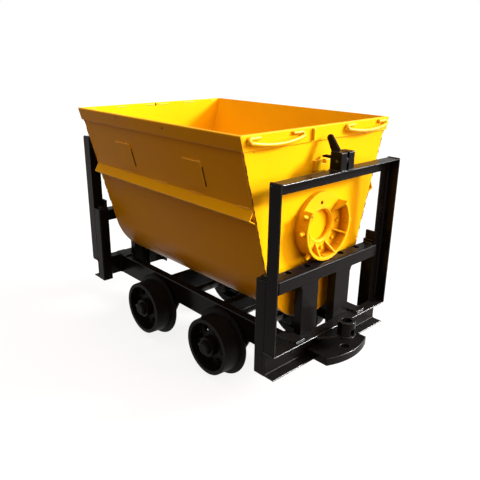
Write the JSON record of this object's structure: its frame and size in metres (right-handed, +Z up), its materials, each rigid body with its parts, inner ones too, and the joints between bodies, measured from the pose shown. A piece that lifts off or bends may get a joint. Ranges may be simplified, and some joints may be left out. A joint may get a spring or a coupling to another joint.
{
  "type": "side dump ore cart",
  "caption": "Rail ore cart whose open bucket rolls over to either side on studded drums that mesh with drilled beams on a flanged-wheel frame.",
  "frame": {"origin": "middle of the cart at the lowest point of the wheel flanges", "axes": "+X along the track towards the front coupler, +Y across the track, +Z up"},
  "size_m": [1.736, 0.9796, 1.2539],
  "materials": {
    "bucket_yellow": "satin paint on steel plate",
    "cast_yellow": "satin paint on rough casting",
    "frame_black": "satin black paint on rolled steel",
    "wheel_iron": "dark cast iron with light rust",
    "bare_steel": "oiled turned steel"
  },
  "bodies": {
    "frame": {"sills": "frame_black", "cross_members": "frame_black", "bumper_front": "frame_black", "bumper_rear": "frame_black", "lap_plates": "frame_black", "corner_posts": "frame_black", "roll_beam_front": "frame_black", "roll_beam_rear": "frame_black", "beam_legs": "frame_black", "roll_stops": "frame_black", "portal_legs": "frame_black", "portal_bars": "frame_black", "coupler_plates": "frame_black", "coupler_top_plates": "frame_black", "coupler_bosses": "frame_black", "coupler_ribs": "frame_black", "pedestals": "frame_black", "axle_boxes": "frame_black", "latch_cheeks": "frame_black", "latch_pins": "bare_steel"},
    "wheelset_front": {"wheels_front": "wheel_iron", "wheel_flanges_front": "wheel_iron", "axle_front": "bare_steel"},
    "wheelset_rear": {"wheels_rear": "wheel_iron", "wheel_flanges_rear": "wheel_iron", "axle_rear": "bare_steel"},
    "roll_carriage": {"hub_rings": "cast_yellow"},
    "bucket": {"trough_bottom": "bucket_yellow", "side_panels": "bucket_yellow", "end_walls": "bucket_yellow", "rim_sides": "bucket_yellow", "rim_ends": "bucket_yellow", "band_ribs": "bucket_yellow", "side_belts": "bucket_yellow", "doublers": "bucket_yellow", "drum_front": "cast_yellow", "drum_rear": "cast_yellow", "grab_handles": "bucket_yellow", "latch_lugs": "bucket_yellow"},
    "lever_front": {"latch_lever_front": "frame_black"},
    "lever_rear": {"latch_lever_rear": "frame_black"}
  },
  "joints": [
    {"name": "wheelset_front_roll", "type": "hinge", "parent": "frame", "child": "wheelset_front", "pos_m": [0.2785, 0, 0.174], "axis": [0, 1, 0], "continuous": true},
    {"name": "wheelset_rear_roll", "type": "hinge", "parent": "frame", "child": "wheelset_rear", "pos_m": [-0.2785, 0, 0.174], "axis": [0, 1, 0], "continuous": true},
    {"name": "drum_travel", "type": "slide", "parent": "frame", "child": "roll_carriage", "axis": [0, 1, 0], "range_m": [-0.2105, 0.2105]},
    {"name": "bucket_tip", "type": "hinge", "parent": "roll_carriage", "child": "bucket", "pos_m": [0, 0, 0.8133], "axis": [1, 0, 0], "range_deg": [-78, 78]},
    {"name": "latch_front_lift", "type": "hinge", "parent": "frame", "child": "lever_front", "pos_m": [0.735, 0, 1.122], "axis": [0, 1, 0], "range_deg": [0, 50]},
    {"name": "latch_rear_lift", "type": "hinge", "parent": "frame", "child": "lever_rear", "pos_m": [-0.735, 0, 1.122], "axis": [0, -1, 0], "range_deg": [0, 50]}
  ],
  "couplings": [
    {"joint": "drum_travel", "follows": "bucket_tip", "m_per_rad": -0.154}
  ]
}
